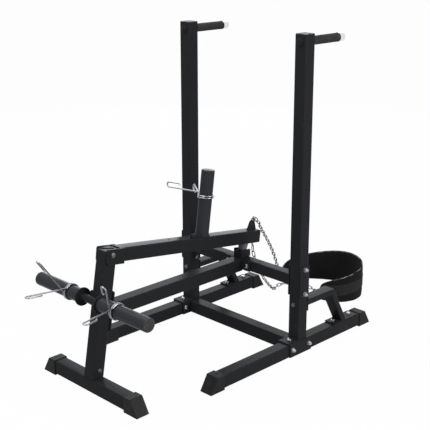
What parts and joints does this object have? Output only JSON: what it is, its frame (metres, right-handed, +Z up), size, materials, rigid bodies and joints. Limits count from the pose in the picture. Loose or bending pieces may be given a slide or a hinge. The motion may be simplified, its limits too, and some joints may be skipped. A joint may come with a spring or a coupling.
{
  "type": "lever arm belt squat machine",
  "caption": "Floor-standing lever arm machine for plate-loaded belt squats, with handle uprights, plate storage horns, spring collars and a hip belt on chains.",
  "frame": {"origin": "on the floor, at the centre of the part's bounding box seen from above", "axes": "+Z up, +Y from the front post towards the uprights and the belt, +X across the machine"},
  "size_m": [0.6742, 1.6507, 1.2],
  "materials": {
    "powder_coat": "satin black powder coat",
    "rubber": "matte moulded rubber",
    "cap_plastic": "matte moulded plastic",
    "zinc": "bright zinc plate",
    "chrome": "polished chrome",
    "collar_steel": "bright drawn spring wire",
    "chain_steel": "dull welded chain",
    "belt_cloth": "woven nylon over padding"
  },
  "bodies": {
    "frame": {"front_foot_tube": "powder_coat", "front_post": "powder_coat", "storage_bar": "powder_coat", "storage_sleeve_left": "powder_coat", "storage_sleeve_right": "powder_coat", "spine_beam": "powder_coat", "base_tube_left": "powder_coat", "base_tube_right": "powder_coat", "lower_cross_tube": "powder_coat", "upper_cross_tube": "powder_coat", "backing_plate_left": "powder_coat", "backing_plate_right": "powder_coat", "upright_left": "powder_coat", "upright_right": "powder_coat", "handle_bar_left": "powder_coat", "handle_bar_right": "powder_coat", "rear_brace_left": "powder_coat", "rear_brace_right": "powder_coat", "stop_seat": "powder_coat", "front_foot_cap_left": "rubber", "front_foot_cap_right": "rubber", "base_cap_front_left": "rubber", "base_cap_front_right": "rubber", "base_cap_rear_left": "rubber", "base_cap_rear_right": "rubber", "handle_grip_left": "rubber", "handle_grip_right": "rubber", "front_post_plug": "cap_plastic", "storage_plug_left": "cap_plastic", "storage_plug_right": "cap_plastic", "upright_plug_left": "cap_plastic", "upright_plug_right": "cap_plastic", "pivot_bush": "zinc", "post_foot_bolt": "zinc", "cross_bolt_lower_left": "zinc", "cross_bolt_upper_left": "zinc", "cross_bolt_lower_right": "zinc", "cross_bolt_upper_right": "zinc", "saddle_bolt_front_left": "zinc", "saddle_bolt_rear_left": "zinc", "saddle_bolt_front_right": "zinc", "saddle_bolt_rear_right": "zinc", "brace_bolt_left": "zinc", "brace_bolt_right": "zinc", "handle_cap_left": "chrome", "handle_cap_right": "chrome"},
    "lever": {"lever_arm": "powder_coat", "weight_horn": "powder_coat", "lever_tip_plug": "cap_plastic", "weight_horn_plug": "cap_plastic", "stop_bumper": "rubber", "pivot_bolt": "zinc"},
    "belt": {"hip_belt": "belt_cloth", "chain_left": "chain_steel", "chain_right": "chain_steel"},
    "horn_collar": {"collar_horn": "collar_steel"},
    "left_collar": {"collar_left": "collar_steel"},
    "right_collar": {"collar_right": "collar_steel"}
  },
  "joints": [
    {"name": "lever_pivot", "type": "hinge", "parent": "frame", "child": "lever", "pos_m": [0, -0.55267, 0.4907], "axis": [1, 0, 0], "range_deg": [0, 30]},
    {"name": "belt_swing", "type": "hinge", "parent": "lever", "child": "belt", "pos_m": [0, 0.16994, 0.435], "axis": [1, 0, 0], "range_deg": [-30, 0]},
    {"name": "horn_collar_slide", "type": "slide", "parent": "lever", "child": "horn_collar", "axis": [0, 0.1378, 0.9905], "range_m": [-0.13, 0.08]},
    {"name": "left_collar_slide", "type": "slide", "parent": "frame", "child": "left_collar", "axis": [-1, 0, 0], "range_m": [-0.045, 0.165]},
    {"name": "right_collar_slide", "type": "slide", "parent": "frame", "child": "right_collar", "axis": [1, 0, 0], "range_m": [-0.065, 0.145]}
  ],
  "couplings": [
    {"joint": "belt_swing", "follows": "lever_pivot", "ratio": -1}
  ]
}
